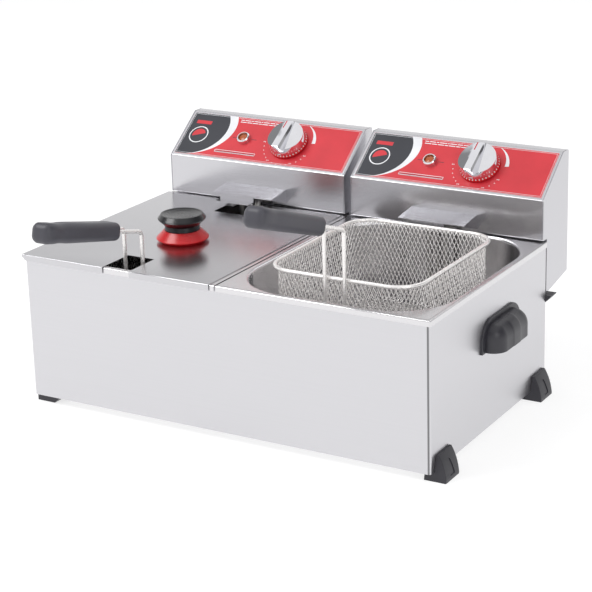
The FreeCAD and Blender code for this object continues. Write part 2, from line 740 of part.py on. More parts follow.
def guard(side):
    """The folded cover over the element's legs, with a tongue that a basket's rim hangs on."""
    cx = side * tank_x
    half = guard_width / 2
    y0, y1 = head_front - guard_depth, head_front
    z1, z0 = guard_face_z, guard_face_z - guard_fall
    plate = prism_x([(y1, z1), (y0, z0), (y0, z0 - sheet), (y1, z1 - sheet)], cx - half, cx + half)
    shape = plate
    for s in (-1, 1):
        x = cx + s * half
        low = face_low + guard_skirt_low
        cheek = prism_x([(y1, low), (y1, z1 - sheet / 2), (y0, z0 - sheet / 2), (y0, z0 - sheet)],
                        x, x - s * sheet)
        tab = box(x, x - s * 14, y1 - sheet, y1, low, low + 10)
        shape = shape.fuse(cheek).fuse(tab)
    hook0 = cx + hook_offset - hook_half_width
    hook1 = cx + hook_offset + hook_half_width
    lip = box(hook0, hook1, y0 - sheet, y0, hook_z - sheet, z0)
    tongue = box(hook0, hook1, y0 - hook_reach, y0, hook_z - sheet, hook_z)
    shape = shape.fuse(lip).fuse(tongue)
    shape = shape.fuse(box(hook0, hook1, y0 - sheet, y0, z0 - sheet, z0)).removeSplitter()
    for at in guard_screw_places(side):
        shape = shape.cut(screw_hole(at, V(0, -1, 0), 4.0))
    return shape


def element_plate(side):
    """The plate that the element's legs are brazed into, flat on the head's face."""
    legs, z = leg_places(side)
    cx = side * tank_x
    plate = slab_y(cx - 24, cx + 24, head_front - 2, head_front, z - 8, z + 8, 3)
    for x in legs:
        plate = plate.cut(cylinder(element_r, V(x, head_front - 5, z), V(0, 1, 0), 10))
    return plate.cut(cylinder(1.2, V(cx, head_front - 5, z), V(0, 1, 0), 10))


def slab_y(x0, x1, y0, y1, z0, z1, r):
    """A box with the four edges that run along Y rounded."""
    block = box(x0, x1, y0, y1, z0, z1)
    along = [e for e in block.Edges if e.BoundBox.YLength > y1 - y0 - 1e-3]
    return block.makeFillet(r, along)


def element(side):
    """The tubular heater: two legs down the tank's back and a loop flat over its floor."""
    cx = side * tank_x
    z = leg_places(side)[1]
    back = head_front + 14.0
    half, inner = element_half, element_inner
    right = [V(leg_x, back, z), V(leg_x, leg_y, z), V(leg_x, leg_y, element_z),
             V(leg_x, element_back, element_z), V(half, element_back, element_z),
             V(half, element_front, element_z), V(inner, element_front, element_z),
             V(inner, element_back - element_tongue, element_z),
             V(0, element_back - element_tongue, element_z)]
    run = tube([p + V(cx, 0, 0) for p in right], element_r, element_bend * 0.9)
    other = run.mirror(V(cx, 0, 0), V(1, 0, 0))
    return run.fuse(other).removeSplitter()


def sensor(side):
    """The thermostat's bulb, upright behind the basket, with its capillary into the head."""
    cx = side * tank_x
    z = leg_places(side)[1]
    top = deck_z - bulb_below_deck
    bulb = cylinder(bulb_r, V(cx, leg_y, tub_floor + 30), V(0, 0, 1), top - tub_floor - 30)
    line = tube([V(cx, leg_y, top - 1), V(cx, leg_y, z), V(cx, head_front + 10, z)], 1.0, 8.0)
    return bulb.fuse(line).removeSplitter()


def terminal_block(side):
    """The mains terminal block, on the inside of the back cover."""
    cx = side * head_x
    y1 = head_back - sheet
    end = cx + gland_x - terminal_gap
    block = box(end - terminal_length, end, y1 - 16, y1, 152, 172)
    for i in range(3):
        x = end + (i - 2.5) * terminal_length / 3
        block = block.cut(box(x - 4, x + 4, y1 - 17, y1 - 10, 156, 168))
    return block


def gland(side):
    """The moulded outlet bush for the supply cable, in the back cover."""
    at = V(side * head_x + gland_x, head_back, gland_z)
    out = V(0, 1, 0)
    body = cylinder(gland_r, at - out * 8, out, 8 + 3)
    collar = cylinder(gland_r + 3.5, at, out, 4)
    nose = Part.makeCone(gland_r, 5.5, 9, at + out * 4, out)
    nut = cylinder(gland_r + 3, at - out * (sheet + 4), out, 4)
    shape = body.fuse(collar).fuse(nose).fuse(nut).removeSplitter()
    return shape.cut(cylinder(3.8, at - out * 20, out, 60))


def head_screws(side):
    """The screws of one head: four in the back cover and two in the guard."""
    screws = [screw(at, V(0, 1, 0), 4.0) for at in cover_screw_places(side)]
    screws += [screw(at, V(0, -1, 0), 4.0) for at in guard_screw_places(side)]
    return Part.makeCompound(screws)


# ---------------------------------------------------------------- baskets

def basket_mesh(side):
    """The wire-cloth tub, as a thin open shell of the same outer shape."""
    cx = side * tank_x
    gap = 2 * rim_wire_r
    w, l = basket_width / 2 - gap, basket_length / 2 - gap
    r = basket_corner_r - gap
    top, low = rim_z[side], rim_z[side] - basket_height
    y = basket_y
    outside = slab(cx - w, cx + w, y - l, y + l, low, top, r)
    outside = outside.makeFillet(8.0, ring_edges(outside, low))
    t = mesh_thickness
    inside = slab(cx - w + t, cx + w - t, y - l + t, y + l - t, low + t, top + 9, r - t)
    inside = inside.makeFillet(8.0 - t, ring_edges(inside, low + t))
    return outside.cut(inside)


def basket_rim(side):
    """The heavy wire ring round the basket's mouth."""
    cx = side * tank_x
    w, l = basket_width / 2 - rim_wire_r, basket_length / 2 - rim_wire_r
    z = rim_z[side]
    points = [V(cx, basket_y - l, z), V(cx + w, basket_y - l, z),
              V(cx + w, basket_y + l, z), V(cx, basket_y + l, z)]
    half = tube(points, rim_wire_r, basket_corner_r - rim_wire_r)
    return half.fuse(half.mirror(V(cx, 0, 0), V(1, 0, 0))).removeSplitter()


def handle_start(side):
    """Where a handle wire's centre line turns from upright to the grip."""
    y = basket_y - basket_length / 2 - handle_wire_r
    return V(side * tank_x, y, rim_z[side] + handle_rise)


def handle_way(side):
    """The direction in which a grip points: forward and a little up."""
    tilt = math.radians(handle_tilt[side])
    return V(0, -math.cos(tilt), math.sin(tilt))


def handle_wires(side):
    """One wire: up the basket's front from a loop at its foot, and forward into the grip."""
    turn = handle_start(side)
    entry = turn + handle_way(side) * (handle_run - 4.0)
    end = turn + handle_way(side) * (handle_run + grip_bore_depth)
    foot = V(turn.x, turn.y, rim_z[side] - basket_height + 8.0)
    half = [(end, handle_wire_in), (entry, handle_wire_in), (turn, handle_wire_x),
            (foot, handle_wire_x)]
    left = [at - V(x, 0, 0) for at, x in half]
    right = [at + V(x, 0, 0) for at, x in reversed(half)]
    return tube(left + right, handle_wire_r, handle_bend)


def rounded_section(y, w, h, r):
    """A closed rounded rectangle across a grip, w by h, at a place along it."""
    block = box(-w / 2, w / 2, y - 1, y, -h / 2, h / 2)
    along = [e for e in block.Edges if e.BoundBox.YLength > 0.5]
    block = block.makeFillet(r, along)
    return [f for f in block.Faces if abs(f.CenterOfMass.y - y) < 1e-6][0].OuterWire


def round_off(distance, r):
    """How much a rounded end takes off each side, at a distance in from its tip."""
    return r - math.sqrt(r * r - (r - distance) ** 2) if distance < r else 0.0


def grip(side):
    """The moulded grip: a rounded bar, a little deeper towards its far end."""
    places = [0.0, 0.6, 2.0, grip_rear_r] + [8.0 + 7.0 * i for i in range(17)]
    places += [grip_length - grip_end_r * (1 - math.sin(math.radians(a))) for a in (15, 35, 55, 75, 90)]
    sections = []
    for y in places:
        lost = round_off(y, grip_rear_r) + round_off(grip_length - y, grip_end_r)
        lost += grip_waist * math.exp(-((y - grip_length + grip_waist_y) / 9.0) ** 2)
        across = grip_width - 2 * lost
        deep = grip_height - 2 * lost + grip_taper * y / grip_length
        sections.append(rounded_section(-y, across, deep, min(across, deep) * 0.34))
    bar = Part.makeLoft(sections, True, True)
    for s in (-1, 1):
        bore = cylinder(handle_wire_r, V(s * handle_wire_in, 1, 0), V(0, -1, 0),
                        grip_bore_depth + 1)
        bar = bar.cut(bore)
    start = handle_start(side) + handle_way(side) * handle_run
    bar.Placement = FreeCAD.Placement(
        start, FreeCAD.Rotation(V(1, 0, 0), -handle_tilt[side]))
    return bar


# ---------------------------------------------------------------- lid

def lid_sheet():
    """The flat lid of the left tank, with a folded front lip, a front notch and a rear slot."""
    x0, x1 = -(lip_x + lid_overhang), -lid_edge_gap
    z0, z1 = deck_z, deck_z + sheet
    plate = box(x0, x1, lid_front, lid_back, z0, z1)
    lip = prism_y([(x0, z1), (x1, z1), (x1, z1 - lid_lip), (x0 + 7, z1 - lid_lip), (x0, z1 - 3)],
                  lid_front, lid_front + sheet)
    cx = -tank_x
    half = notch_width / 2
    notch = box(cx - half, cx + half, lid_front - 1, lid_front + notch_depth, z1 - 20, z1 + 5)
    slot_y1 = lid_back - slot_back
    slot = box(cx - slot_width / 2, cx + slot_width / 2, slot_y1 - slot_length, slot_y1, z0 - 5, z1 + 5)
    way = box(cx - half, cx + half, slot_y1 - 1, lid_back + 5, z0 - 5, z1 + 5)
    shape = plate.fuse(lip).cut(notch).cut(slot).cut(way).removeSplitter()
    rear = [e for e in shape.Edges if e.BoundBox.YMin > lid_back - 1e-5 and e.BoundBox.XLength > 1]
    shape = shape.makeFillet(sheet / 2 - 0.001, rear)
    fold = [e for e in ring_edges(shape, z1) if e.BoundBox.YMax < lid_front + 1e-5]
    shape = shape.makeFillet(0.9, fold)
    at = V(cx + lid_knob_x, lid_knob_y, z1)
    return shape.cut(cylinder(screw_r + screw_hole_gap, at - V(0, 0, 10), V(0, 0, 1), 20))


def prism_y(points, y0, y1):
    """A polygon of (x, z) points, extruded along Y."""
    corners = [V(x, y0, z) for x, z in points]
    return Part.Face(Part.makePolygon(corners + corners[:1])).extrude(V(0, y1 - y0, 0))


def lid_knob_base():
    """The red double cone that keeps fingers off the hot lid."""
    at = V(-tank_x + lid_knob_x, lid_knob_y, deck_z + sheet)
    r = lid_knob_r
    base = lathe([(0, 0), (r - 6, 0), (r, 4.2), (r, 5.0), (r - 9.5, 15), (0, 15)], at)
    return base.cut(cylinder(screw_r + screw_hole_gap, at - V(0, 0, 1), V(0, 0, 1), 20))


def lid_knob_top():
    """The black mushroom top of the lid's knob, slightly dished."""
    at = V(-tank_x + lid_knob_x, lid_knob_y, deck_z + sheet + 15)
    r = lid_knob_r
    top = lathe([(0, 0), (r - 11, 0), (r - 11, 6), (r - 8, 9), (r - 3, 14), (r - 2.6, 15.5),
                 (r - 6.5, 20.5), (r - 8, 20.8), (r - 9.5, 20.3), (r - 20, 19.2), (0, 18.8)], at)
    return top.cut(cylinder(screw_r + screw_hole_gap, at - V(0, 0, 1), V(0, 0, 1), 11))


def lid_screw():
    """The screw that holds the lid's knob, from below."""
    at = V(-tank_x + lid_knob_x, lid_knob_y, deck_z)
    return screw(at, V(0, 0, -1), 22.0)


# ---------------------------------------------------------------- assembly

def build():
    """Every piece of the fryer by name."""
    parts = {
        "casing_wrap": casing_wrap(),
        "back_panel": back_panel(),
        "bottom_plate": bottom_plate(),
        "centre_rail": centre_rail(),
        "casing_screws": casing_screws(),
        "rest_pad_left": rest_pad(-half_width - 7.5, -half_width + 24.0),
        "rest_pad_centre": rest_pad(-22.0, 22.0),
        "rest_pad_right": rest_pad(half_width - 24.0, half_width + 7.5),
        "lid_sheet": lid_sheet(),
        "lid_knob_base": lid_knob_base(),
        "lid_knob_top": lid_knob_top(),
        "lid_screw": lid_screw(),
    }
    makers = [tank, head_shell, head_cover, overlay, lamp_bezel, lamp_lens, thermostat,
              knob_shaft, knob_skirt, knob_cap, guard, element_plate, element, sensor,
              terminal_block, gland, head_screws, basket_mesh, basket_rim, handle_wires, grip,
              carry_handle]
    for side, word in ((LEFT, "left"), (RIGHT, "right")):
        for make in makers:
            parts[make.__name__ + "_" + word] = make(side)
        for place, y0 in foot_ys().items():
            parts["foot_" + place + "_" + word] = foot(side, y0)
    return parts


parts = build()
whole = Part.makeCompound(list(parts.values())).BoundBox
to_middle = V(0, -(whole.YMin + whole.YMax) / 2, 0)
os.makedirs("parts", exist_ok=True)
for name, shape in parts.items():
    shape.translate(to_middle)
    shape.exportStep("parts/" + name + ".step")
print(len(parts), "nodes, moved along Y by", round(to_middle.y, 3))
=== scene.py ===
"""Looks of the twin-tank countertop fryer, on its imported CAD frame. Metres, Z up."""
import json
import math

import bpy
from mathutils import Matrix, Vector


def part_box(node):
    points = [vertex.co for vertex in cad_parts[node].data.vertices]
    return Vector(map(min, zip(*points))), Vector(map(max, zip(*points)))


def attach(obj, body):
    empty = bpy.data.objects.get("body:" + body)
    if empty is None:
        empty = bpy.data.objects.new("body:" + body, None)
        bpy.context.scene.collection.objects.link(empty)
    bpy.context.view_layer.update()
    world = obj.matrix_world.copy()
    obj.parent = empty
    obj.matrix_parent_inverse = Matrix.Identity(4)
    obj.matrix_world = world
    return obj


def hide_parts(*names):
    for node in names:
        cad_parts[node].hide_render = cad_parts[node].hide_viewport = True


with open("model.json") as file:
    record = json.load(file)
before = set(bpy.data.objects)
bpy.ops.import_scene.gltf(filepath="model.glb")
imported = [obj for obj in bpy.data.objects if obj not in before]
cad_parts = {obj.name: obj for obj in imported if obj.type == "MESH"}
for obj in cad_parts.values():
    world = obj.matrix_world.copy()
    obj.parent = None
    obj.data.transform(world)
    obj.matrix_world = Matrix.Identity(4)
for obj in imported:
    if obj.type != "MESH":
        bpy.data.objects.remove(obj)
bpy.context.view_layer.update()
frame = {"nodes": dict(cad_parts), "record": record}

MM = 0.001
SIDES = ("left", "right")

# The fascia, in mm: X across from its middle, S up its slope.
SLOPE_ANGLE = math.atan2(48, 64)
OVERLAY_LOW = 4.0
OVERLAY_HIGH = 77.0
OVERLAY_HALF = 132.0
OVERLAY_THICKNESS = 0.4
KNOB_X = 35.0
KNOB_S = 41.0
LAMP_X = -35.5
LAMP_S = 39.5

# The knob's two CAD pieces, skirt and cap, that its marks are laid on.
SKIRT_R = 26.6
SKIRT_LOW = 2.0
CAP_R = 25.2
CAP_RIM = 17.5
CAP_BAR_LEFT = -9.0
CAP_BAR_FRONT = 5.5
CAP_FALL = 4.0 / (2 * CAP_R)
CAP_POINTER_Y = 11.0

# Dashes round the skirt's sloping side, and the coloured line in the cap's groove.
SKIRT_MARKS = 36
SKIRT_TOP_R = CAP_R - 0.2
SKIRT_FOOT = 1.2
SKIRT_RISE = 3.3
MARK_OUT = 0.06
MARK_UP = 0.03
MARK_HALF = 0.7
MARK_SPAN = (0.25, 0.75)
GROOVE_ENDS = (CAP_POINTER_Y + 0.3, CAP_R - 0.6)
GROOVE_SIDES = (CAP_BAR_LEFT + 1.0, CAP_BAR_LEFT + 2.6)
GROOVE_DEPTH = 0.45

# Print: three levels over the overlay, and the finishes by their place in its material list.
PRINT_LIFT = 0.04
LEVEL_GROUND = OVERLAY_THICKNESS + PRINT_LIFT
LEVEL_FIELD = LEVEL_GROUND + PRINT_LIFT
LEVEL_MARK = LEVEL_GROUND + 2 * PRINT_LIFT
RED, BLACK, WHITE = 0, 1, 2

# Print: the field's edges, the white line inside them, and the two ellipses of the swoosh
# (each is its centre's S and its two radii).
GROUND_MARGIN = 0.1
FIELD_MARGIN = 0.5
FIELD_LEFT = -OVERLAY_HALF + FIELD_MARGIN
FIELD_RIGHT = OVERLAY_HALF - FIELD_MARGIN
FIELD_LOW = OVERLAY_LOW + FIELD_MARGIN
FIELD_HIGH = OVERLAY_HIGH - FIELD_MARGIN
LINE_INSET = 1.5
LINE_WIDTH = 0.4
SWOOSH_X = -122.0
SWOOSH_OUTER = (56.0, 65.0, 52.0)
SWOOSH_INNER = (52.0, 53.5, 48.0)
SWOOSH_STEPS = 24

# Print: the scale round the knob. Angles are in degrees anticlockwise from X.
DIAL_R = 36.6
DIAL_MARKS = 14
DIAL_NUMBERED = (0, 5, 10, 13)
DIAL_FIRST = 182.0
DIAL_LAST = 332.0
DIAL_DOT_R = 0.75
DIAL_DOT_SIDES = 8
NUMBER_DASHES = (1.1, 1.1)
NUMBER_TALL = 1.5
NUMBER_LEFT = 3.0
NUMBER_DOWN = 0.7
CRESCENT_R = 38.0
CRESCENT_FIRST = 8.0
CRESCENT_LAST = 64.0
CRESCENT_WIDTH = 5.6
CRESCENT_STEPS = 20

# Print: a dash on each side of the lamp, and the long outlined slot.
LAMP_DASHES = ((-19.0, -12.0), (11.0, 19.0))
LAMP_DASH_LOW = 0.8
LAMP_DASH_HIGH = 1.6
SLOT_X0 = -72.0
SLOT_X1 = -8.0
SLOT_S0 = 13.0
SLOT_TALL = 4.6
SLOT_LINE = 0.7
SLOT_FOOT = 1.3
SLOT_DARK_INSET = 1.5
SLOT_DARK_LOW = 1.9
SLOT_DARK_HIGH = 2.5

# Print: a blank pill and a plain ring with a half disc, in place of a name and a badge.
PILL_X = -110.5
PILL_S = 61.0
PILL_HALF = 12.0
PILL_HALF_TALL = 3.0
BADGE_X = PILL_X + 1.0
BADGE_S = PILL_S - 22.0
BADGE_R = 14.5
BADGE_LINE = 1.6
BADGE_STEPS = 28
BADGE_DISC_R = 10.0
BADGE_DISC_TURN = (20, 200)

# Print: two rows of dashes for the lettering, each its first X, its S and the dashes' lengths.
LETTERING = ((-55.5, 71.2, (5.5, 9.0, 3.5, 10.5, 2.2, 9.5, 7.5, 9.0)),
             (-55.0, 67.8, (9.5, 7.5, 8.5, 5.0, 9.0, 6.5, 9.5)))
LETTER_TALL = 1.3
LETTER_GAP = 1.1

# Wire cloth of the baskets, in mm: the wire's radius and wave, a diamond's width and height.
CLOTH_WIRE = 0.6
CLOTH_WAVE = 0.45
CLOTH_PITCH = 5.6
CLOTH_DIAMOND = 12.0
CLOTH_FILLET = 8.0
CLOTH_CORNER = 31.0
CLOTH_SIDES = 5

# A direction that no wire runs along, to start a wire's rings from.
OFF_AXIS = Vector((0.31, 0.17, 0.93))

# Painted shade in the seam between the tanks: a dark strip, in mm over the centre rail.
SEAM_HALF = 0.9
SEAM_LOW = 0.05
SEAM_HIGH = 0.4
SEAM_INSET = 4.0

# Soft shading of the CAD pieces: points closer than this join, and steeper edges stay sharp.
MERGE_DISTANCE = 0.000002
SHARP_ANGLE = math.radians(30)

# Noise in the finishes: its usual range, the scale of each pattern, the height of each relief.
NOISE_RANGE = (0.3, 0.7)
GRAIN_SHARE = 0.75
GRAIN_RELIEF = 0.0001
CLOUD_SCALE = 9.0
SMEAR_SCALE = 60.0
TONE_SCALE = 25.0
TEXTURE_SCALE = 2600.0
TEXTURE_RELIEF = 0.00006
PAPER_SCALE = 14.0

# Brushed sheets: colour, roughness, the grain's stretch and its relief.
SHEETS = {
    "casing_steel": ((0.655, 0.650, 0.672), 0.34, (3, 3, 900), 0.04),
    "lid_steel": ((0.60, 0.595, 0.615), 0.24, (2600, 3, 3), 0.012),
    "tank_steel": ((0.72, 0.71, 0.725), 0.24, (4, 500, 4), 0.05),
    "head_steel": ((0.60, 0.595, 0.62), 0.22, (3, 3, 2600), 0.015),
}

# Plated and drawn metals: colour, roughness and metalness.
METALS = {
    "wire_steel": ((0.95, 0.925, 0.91), 0.26, 0.55),
    "element_metal": ((0.42, 0.41, 0.40), 0.35, 1.0),
    "screw_steel": ((0.80, 0.80, 0.81), 0.16, 1.0),
    "chrome": ((0.80, 0.80, 0.83), 0.05, 1.0),
}

# Plastics and print: colour, roughness, relief of the texture and clear coat.
PLASTICS = {
    "overlay_print": ((0.66, 0.022, 0.036), 0.36, 0.03, 0.12),
    "amber_lens": ((0.42, 0.085, 0.012), 0.22, 0.0, 0.2),
    "red_plastic": ((0.64, 0.006, 0.011), 0.30, 0.0, 0.05),
    "gloss_black": ((0.008, 0.008, 0.010), 0.26, 0.0, 0.1),
    "grip_plastic": ((0.060, 0.059, 0.073), 0.44, 0.25, 0.0),
    "black_moulding": ((0.030, 0.029, 0.037), 0.36, 0.25, 0.0),
    "dark_plastic": ((0.03, 0.03, 0.03), 0.5, 0.25, 0.0),
    "print_red": ((0.66, 0.022, 0.036), 0.36, 0.03, 0.12),
    "print_black": ((0.022, 0.024, 0.034), 0.34, 0.03, 0.15),
    "print_white": ((0.86, 0.87, 0.90), 0.30, 0.03, 0.2),
}

# Painted reflection on the casing: its colour by how far a face turns to the right, dark part-way
# round a bend, standing in for the dark surroundings that the rounded corner reflects.
BEND_REFLECTION_TONE = (0.32, 0.32, 0.32)
BEND_REFLECTION_STOPS = ((0.08, (1, 1, 1)), (0.16, BEND_REFLECTION_TONE), (0.55, BEND_REFLECTION_TONE), (0.715, (1, 1, 1)))

# Camera, solved from the casing's corners: its place from the casing's middle in X and Y and
# from the floor in Z, angles in degrees, lens in mm.
CAMERA_PLACE = (1.1225, -1.8399, 0.8650)
CAMERA_AZIMUTH = 28.359
CAMERA_ELEVATION = 17.245
CAMERA_ROLL = -0.832
CAMERA_SENSOR = 36.0
CAMERA_LENS = 110.313243
CAMERA_SHIFT = (-0.138598, -0.085490)
CAMERA_NEAR = 0.05

# Sky: colours by height, and strength by X, apart from the horizon, which stays at 1.
SKY_DARK = (0.30, 0.30, 0.306)
SKY_STOPS = ((0.38, (1, 1, 1)), (0.46, SKY_DARK), (0.70, SKY_DARK), (0.80, (1, 1, 1.02)),
             (0.95, (1, 1, 1)))
SKY_FADE_X = (0.45, 0.75)
SKY_FADE = (0.95, 0.42)
SKY_HORIZON_Z = (0.10, 0.18)

# Lights: name, place, size and power. They aim at one point.
LIGHTS = (("key", (-1.4, -1.2, 2.4), 1.4, 40),
          ("fill", (2.2, -1.4, 1.6), 1.4, 14),
          ("back", (0.2, 1.8, 2.0), 1.2, 5))
LIGHT_TARGET = (0, 0, 0.1)

# Floor: its corners, its glow and its two tones.
FLOOR_CORNERS = ((-9, -9, 0), (9, -9, 0), (9, 12, 0), (-9, 12, 0))
FLOOR_GLOW = 0.72
FLOOR_DARK = (0.37, 0.37, 0.37)
FLOOR_LIGHT = (0.38, 0.38, 0.38)


# ---------------------------------------------------------------- materials

def new_material(name):
    """A node material with its Principled shader, ready to set."""
    material = bpy.data.materials.new(name)
    material.use_nodes = True
    return material, material.node_tree, material.node_tree.nodes["Principled BSDF"]


def node(tree, kind, **inputs):
    """A shader node with values set on its inputs by name."""
    made = tree.nodes.new(kind)
    for key, value in inputs.items():
        made.inputs[key.replace("_", " ")].default_value = value
    return made


def noise(tree, scale, detail=3.0, stretch=(1.0, 1.0, 1.0)):
    """Noise in the object's own coordinates, stretched along its axes."""
    place = tree.nodes.new("ShaderNodeTexCoord")
    mapping = node(tree, "ShaderNodeMapping", Scale=stretch)
    pattern = node(tree, "ShaderNodeTexNoise", Scale=scale, Detail=detail)
    tree.links.new(place.outputs["Object"], mapping.inputs["Vector"])
    tree.links.new(mapping.outputs["Vector"], pattern.inputs["Vector"])
    return pattern.outputs["Fac"]


def map_range(tree, value, source, target):
    """A value carried from one range to another, and held past its ends."""
    ramp = tree.nodes.new("ShaderNodeMapRange")
    ramp.inputs["From Min"].default_value = source[0]
    ramp.inputs["From Max"].default_value = source[1]
    ramp.inputs["To Min"].default_value = target[0]
    ramp.inputs["To Max"].default_value = target[1]
    tree.links.new(value, ramp.inputs["Value"])
    return ramp.outputs["Result"]


def colour_ramp(tree, value, stops):
    """A colour by a value, between stops that are each a position and a colour."""
    ramp = tree.nodes.new("ShaderNodeValToRGB")
    elements = ramp.color_ramp.elements
    for element, (position, colour) in zip(elements, (stops[0], stops[-1])):
        element.position = position
        element.color = (*colour, 1)
    for position, colour in stops[1:-1]:
        elements.new(position).color = (*colour, 1)
    tree.links.new(value, ramp.inputs["Fac"])
    return ramp.outputs["Color"]


def spread(tree, value, low, high):
    """Noise from its usual range, spread over low to high."""
    return map_range(tree, value, NOISE_RANGE, (low, high))


def noise_tones(tree, value, dark, light):
    """A colour between dark and light, by noise from its usual range."""
    low, high = NOISE_RANGE
    return colour_ramp(tree, value, ((low, dark), (high, light)))


def shade(tree, value, tone, depth):
    """A colour that noise darkens slightly, as far as a share of itself."""
    return noise_tones(tree, value, tuple(c * depth for c in tone), tone)


def bump(tree, shader, value, strength, distance):
    """A fine relief from a value."""
    relief = node(tree, "ShaderNodeBump", Strength=strength, Distance=distance)
    tree.links.new(value, relief.inputs["Height"])
    tree.links.new(relief.outputs["Normal"], shader.inputs["Normal"])


def blend(tree, first, second, share):
    """A sum of two values, with a share of the first and the rest of the second."""
    rest = tree.nodes.new("ShaderNodeMath")
    rest.operation = "MULTIPLY"
    rest.inputs[1].default_value = 1 - share
    tree.links.new(second, rest.inputs[0])
    both = tree.nodes.new("ShaderNodeMath")
    both.operation = "MULTIPLY_ADD"
    both.inputs[1].default_value = share
    tree.links.new(first, both.inputs[0])
    tree.links.new(rest.outputs[0], both.inputs[2])
    return both.outputs[0]


def steel(name, tone, rough, stretch, grain):
    """Brushed sheet: fine lines along the grain, cloudy wear and a slight colour change."""
    material, tree, shader = new_material(name)
    shader.inputs["Metallic"].default_value = 1.0
    lines = noise(tree, 1.0, 4.0, stretch)
    value = blend(tree, lines, noise(tree, CLOUD_SCALE), GRAIN_SHARE)
    tree.links.new(shade(tree, value, tone, 0.975), shader.inputs["Base Color"])
    tree.links.new(spread(tree, value, rough * 0.92, rough * 1.1), shader.inputs["Roughness"])
    bump(tree, shader, lines, grain, GRAIN_RELIEF)
    return material


def bright(name, tone, rough, metal):
    """Plated or drawn metal with faint smears."""
    material, tree, shader = new_material(name)
    shader.inputs["Metallic"].default_value = metal
    smears = noise(tree, SMEAR_SCALE, 4.0)
    tree.links.new(shade(tree, smears, tone, 0.95), shader.inputs["Base Color"])
    tree.links.new(spread(tree, smears, rough * 0.8, rough * 1.3), shader.inputs["Roughness"])
    return material


def moulded(name, tone, rough, texture, coat):
    """Moulded plastic or print: a fine texture, if any, and a slight tone change."""
    material, tree, shader = new_material(name)
    shader.inputs["Coat Weight"].default_value = coat
    shader.inputs["Coat Roughness"].default_value = 0.08
    broad = noise(tree, TONE_SCALE)
    tree.links.new(shade(tree, broad, tone, 0.85), shader.inputs["Base Color"])
    tree.links.new(spread(tree, broad, rough * 0.9, rough * 1.15), shader.inputs["Roughness"])
    if texture:
        bump(tree, shader, noise(tree, TEXTURE_SCALE, 2.0), texture, TEXTURE_RELIEF)
    return material


def painted_bend_reflection(material, stops):
    """Paints a dark reflection on a sheet where it faces part-way between front and right.

    It goes by the surface's direction alone, so this painted reflection is there in any light.
    """
    tree = material.node_tree
    shader = tree.nodes["Principled BSDF"]
    colour = shader.inputs["Base Color"].links[0].from_socket
    facing = tree.nodes.new("ShaderNodeNewGeometry")
    split = tree.nodes.new("ShaderNodeSeparateXYZ")
    tree.links.new(facing.outputs["Normal"], split.inputs["Vector"])
    mix = tree.nodes.new("ShaderNodeMixRGB")
    mix.blend_type = "MULTIPLY"
    mix.inputs["Fac"].default_value = 1.0
    tree.links.new(colour, mix.inputs["Color1"])
    tree.links.new(colour_ramp(tree, split.outputs["X"], stops), mix.inputs["Color2"])
    tree.links.new(mix.outputs["Color"], shader.inputs["Base Color"])


materials = {}
for make, table in ((steel, SHEETS), (bright, METALS), (moulded, PLASTICS)):
    for name, values in table.items():
        materials[name] = make(name, *values)
# Painted reflection: the casing darkened part-way round its bends to the right.
painted_bend_reflection(materials["casing_steel"], BEND_REFLECTION_STOPS)

slot_of = {sub["node"]: sub["material_slot"] for sub in frame["record"]["subparts"]}
for name, shape in frame["nodes"].items():
    shape.data.materials.clear()
    shape.data.materials.append(materials[slot_of[name]])


# ---------------------------------------------------------------- smooth shading

def soft_shading():
    """A modifier tree that shades a mesh smoothly, but keeps steep edges sharp."""
    tree = bpy.data.node_groups.new("soft_shading", "GeometryNodeTree")
    tree.interface.new_socket("Geometry", in_out="INPUT", socket_type="NodeSocketGeometry")
    tree.interface.new_socket("Geometry", in_out="OUTPUT", socket_type="NodeSocketGeometry")
    start = tree.nodes.new("NodeGroupInput")
    end = tree.nodes.new("NodeGroupOutput")
    merge = tree.nodes.new("GeometryNodeMergeByDistance")
    merge.inputs["Distance"].default_value = MERGE_DISTANCE
    whole = tree.nodes.new("GeometryNodeSetShadeSmooth")
    whole.domain = "FACE"
    whole.inputs["Shade Smooth"].default_value = True
    folds = tree.nodes.new("GeometryNodeSetShadeSmooth")
    folds.domain = "EDGE"
    folds.inputs["Shade Smooth"].default_value = False
    angle = tree.nodes.new("GeometryNodeInputMeshEdgeAngle")
    sharp = tree.nodes.new("FunctionNodeCompare")
    sharp.operation = "GREATER_THAN"
    sharp.inputs[1].default_value = SHARP_ANGLE
    tree.links.new(start.outputs[0], merge.inputs["Geometry"])
    tree.links.new(merge.outputs["Geometry"], whole.inputs["Geometry"])
    tree.links.new(whole.outputs["Geometry"], folds.inputs["Geometry"])
    tree.links.new(angle.outputs["Unsigned Angle"], sharp.inputs[0])
    tree.links.new(sharp.outputs["Result"], folds.inputs["Selection"])
    tree.links.new(folds.outputs["Geometry"], end.inputs[0])
    return tree


soft = soft_shading()
for shape in frame["nodes"].values():
    shape.modifiers.new("soft_shading", "NODES").node_group = soft


# ---------------------------------------------------------------- mesh helpers

def piece(name, mesh, body, slot, *finishes):
    """A mesh object that rides on a body, with its slot's finish or with finishes of its own."""
    made = bpy.data.objects.new(name, mesh)
    bpy.context.collection.objects.link(made)
    for finish in finishes or (slot,):
        mesh.materials.append(materials[finish])
    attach(made, body)
    return made


def mesh_from(name, points, faces, smooth=True):
    """A mesh from points and faces."""
    mesh = bpy.data.meshes.new(name)
    mesh.from_pydata([tuple(p) for p in points], [], faces)
    mesh.update()
    for face in mesh.polygons:
        face.use_smooth = smooth
    return mesh


